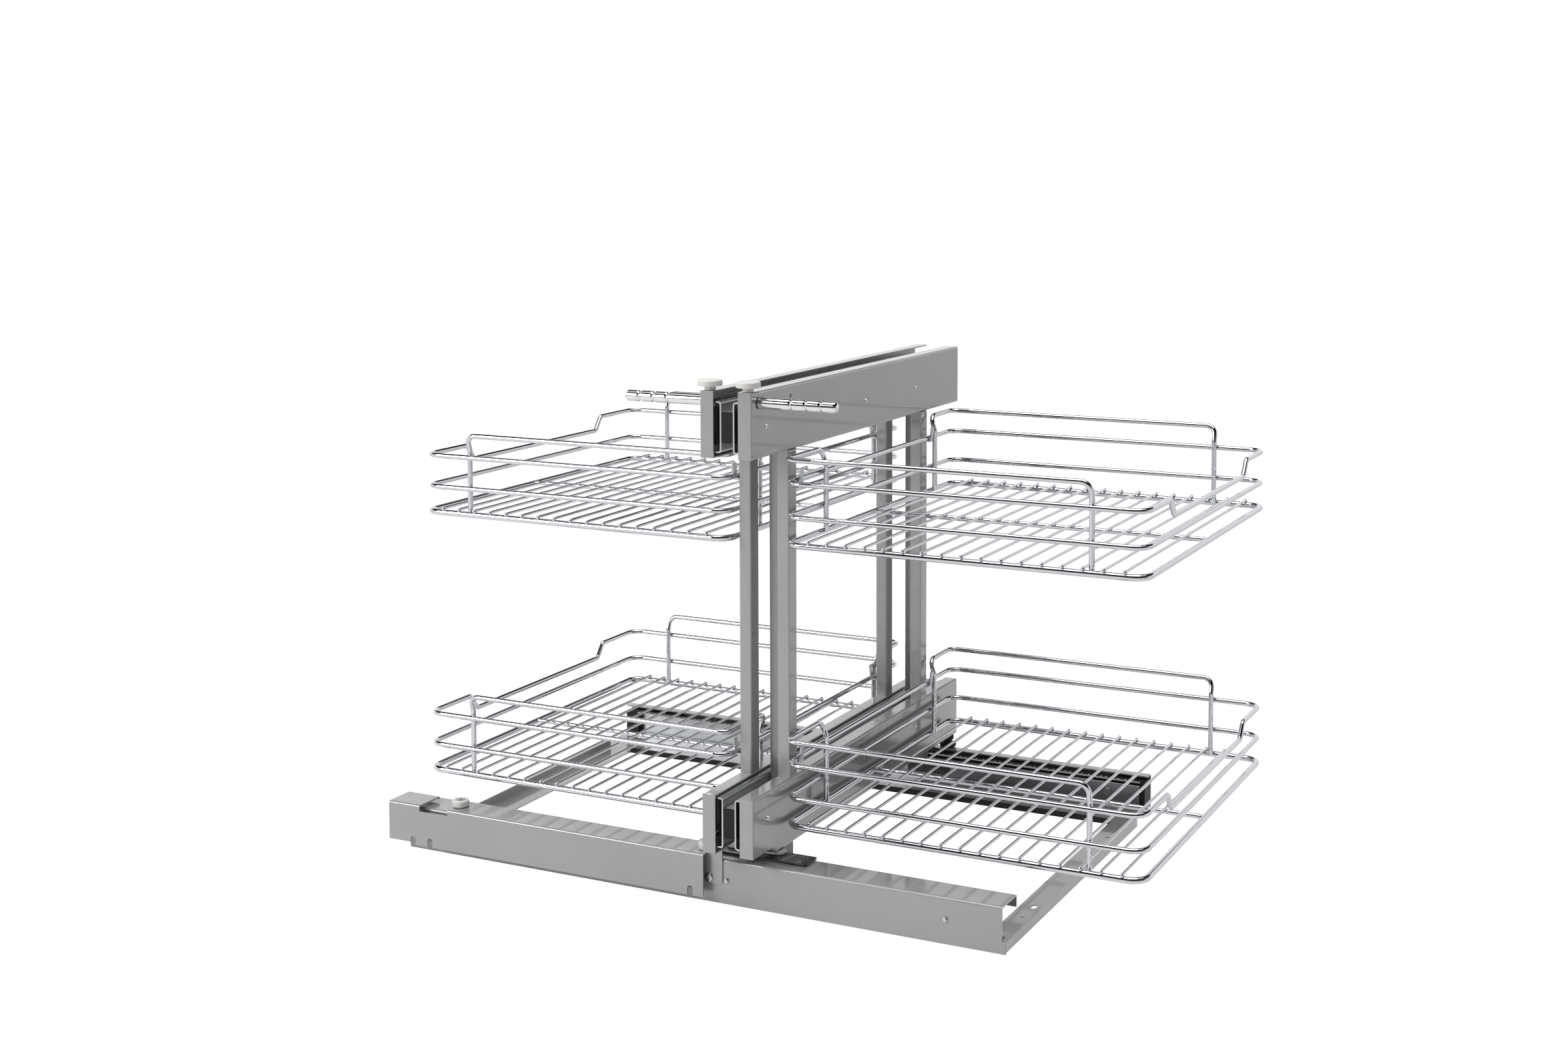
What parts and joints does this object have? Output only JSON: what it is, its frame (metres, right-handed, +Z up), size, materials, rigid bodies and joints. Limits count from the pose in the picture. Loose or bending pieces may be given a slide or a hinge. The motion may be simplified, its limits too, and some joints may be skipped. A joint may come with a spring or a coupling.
{
  "type": "blind corner pull-out organizer",
  "caption": "Blind corner cabinet organizer: a carriage slides sideways on a base frame and carries wire baskets on two hanging frames that pull out forward.",
  "frame": {"origin": "centre of the four screw holes in the base's side bars, on the underside that lies on the cabinet floor", "axes": "+X to the right as seen from the cabinet's front, +Y into the cabinet, +Z up"},
  "size_m": [0.8308, 0.5174, 0.526],
  "materials": {
    "silver_paint": "satin",
    "dark_coated_sheet": "satin",
    "plated_screw": "satin",
    "zinc_slide": "satin",
    "black_slide": "satin",
    "black_plastic": "matte",
    "white_plastic": "satin",
    "chrome_handle": "polished",
    "black_rubber": "matte",
    "chrome_wire": "polished"
  },
  "bodies": {
    "base": {"front_rail": "silver_paint", "rear_rail": "silver_paint", "left_side_bar": "silver_paint", "right_side_bar": "silver_paint", "track_cover": "silver_paint", "stop_tab": "silver_paint", "stop_tab_screw": "plated_screw", "cover_roller_axles": "plated_screw", "rail_pins": "plated_screw", "front_slide_rail": "black_slide", "rear_slide_rail": "black_slide", "rear_slide_blocks": "black_plastic"},
    "left_cover_roller": {"left_cover_roller": "white_plastic"},
    "right_cover_roller": {"right_cover_roller": "white_plastic"},
    "cross_cages": {"cross_ball_cages": "black_plastic"},
    "carriage": {"upper_centre_tube": "silver_paint", "lower_centre_tube": "silver_paint", "front_centre_post": "silver_paint", "rear_centre_post": "silver_paint", "centre_tube_plugs": "black_plastic", "carriage_front_foot": "dark_coated_sheet", "carriage_rear_bracket": "dark_coated_sheet", "cross_slide_runners": "zinc_slide", "rear_runner_screws": "plated_screw", "support_disc_screws": "plated_screw", "pull_slide_rails": "zinc_slide"},
    "left_support_disc": {"left_support_disc": "white_plastic"},
    "right_support_disc": {"right_support_disc": "white_plastic"},
    "left_middles": {"left_slide_middles": "zinc_slide"},
    "left_cages": {"left_ball_cages": "black_plastic"},
    "left_unit": {"left_upper_channel": "silver_paint", "left_lower_channel": "silver_paint", "left_front_post": "silver_paint", "left_rear_post": "silver_paint", "left_slide_runners": "zinc_slide", "left_basket_hooks": "zinc_slide", "left_handle": "chrome_handle", "left_rear_foot": "black_rubber", "left_rivets": "plated_screw", "left_upper_basket_frame": "chrome_wire", "left_upper_basket_floor": "chrome_wire", "left_lower_basket_frame": "chrome_wire", "left_lower_basket_floor": "chrome_wire"},
    "left_top_roller": {"left_top_roller": "white_plastic"},
    "right_middles": {"right_slide_middles": "zinc_slide"},
    "right_cages": {"right_ball_cages": "black_plastic"},
    "right_unit": {"right_upper_channel": "silver_paint", "right_lower_channel": "silver_paint", "right_front_post": "silver_paint", "right_rear_post": "silver_paint", "right_slide_runners": "zinc_slide", "right_basket_hooks": "zinc_slide", "right_handle": "chrome_handle", "right_rear_foot": "black_rubber", "right_rivets": "plated_screw", "right_upper_basket_frame": "chrome_wire", "right_upper_basket_floor": "chrome_wire", "right_lower_basket_frame": "chrome_wire", "right_lower_basket_floor": "chrome_wire"},
    "right_top_roller": {"right_top_roller": "white_plastic"}
  },
  "joints": [
    {"name": "carriage_slide", "type": "slide", "parent": "base", "child": "carriage", "axis": [1, 0, 0], "range_m": [-0.387, 0]},
    {"name": "cross_cages_roll", "type": "slide", "parent": "base", "child": "cross_cages", "axis": [1, 0, 0], "range_m": [-0.1935, 0]},
    {"name": "left_cover_roller_spin", "type": "hinge", "parent": "base", "child": "left_cover_roller", "pos_m": [-0.282, -0.2105, 0.054], "axis": [0, 0, 1], "continuous": true},
    {"name": "right_cover_roller_spin", "type": "hinge", "parent": "base", "child": "right_cover_roller", "pos_m": [0.02, -0.2105, 0.054], "axis": [0, 0, 1], "continuous": true},
    {"name": "left_support_disc_spin", "type": "hinge", "parent": "carriage", "child": "left_support_disc", "pos_m": [0.037, -0.1826, 0.049], "axis": [0, 0, 1], "continuous": true},
    {"name": "left_unit_pull", "type": "slide", "parent": "carriage", "child": "left_unit", "axis": [0, -1, 0], "range_m": [0, 0.41]},
    {"name": "left_middles_slide", "type": "slide", "parent": "carriage", "child": "left_middles", "axis": [0, -1, 0], "range_m": [0, 0.205]},
    {"name": "left_cages_roll", "type": "slide", "parent": "carriage", "child": "left_cages", "axis": [0, -1, 0], "range_m": [0, 0.1025]},
    {"name": "left_top_roller_spin", "type": "hinge", "parent": "left_unit", "child": "left_top_roller", "pos_m": [0.04, -0.2352, 0.521], "axis": [0, 0, 1], "continuous": true},
    {"name": "right_support_disc_spin", "type": "hinge", "parent": "carriage", "child": "right_support_disc", "pos_m": [0.085, -0.1826, 0.049], "axis": [0, 0, 1], "continuous": true},
    {"name": "right_unit_pull", "type": "slide", "parent": "carriage", "child": "right_unit", "axis": [0, -1, 0], "range_m": [0, 0.41]},
    {"name": "right_middles_slide", "type": "slide", "parent": "carriage", "child": "right_middles", "axis": [0, -1, 0], "range_m": [0, 0.205]},
    {"name": "right_cages_roll", "type": "slide", "parent": "carriage", "child": "right_cages", "axis": [0, -1, 0], "range_m": [0, 0.1025]},
    {"name": "right_top_roller_spin", "type": "hinge", "parent": "right_unit", "child": "right_top_roller", "pos_m": [0.082, -0.2352, 0.521], "axis": [0, 0, 1], "continuous": true}
  ],
  "couplings": [
    {"joint": "cross_cages_roll", "follows": "carriage_slide", "ratio": 0.5},
    {"joint": "left_middles_slide", "follows": "left_unit_pull", "ratio": 0.5},
    {"joint": "left_cages_roll", "follows": "left_unit_pull", "ratio": 0.25},
    {"joint": "right_middles_slide", "follows": "right_unit_pull", "ratio": 0.5},
    {"joint": "right_cages_roll", "follows": "right_unit_pull", "ratio": 0.25}
  ]
}
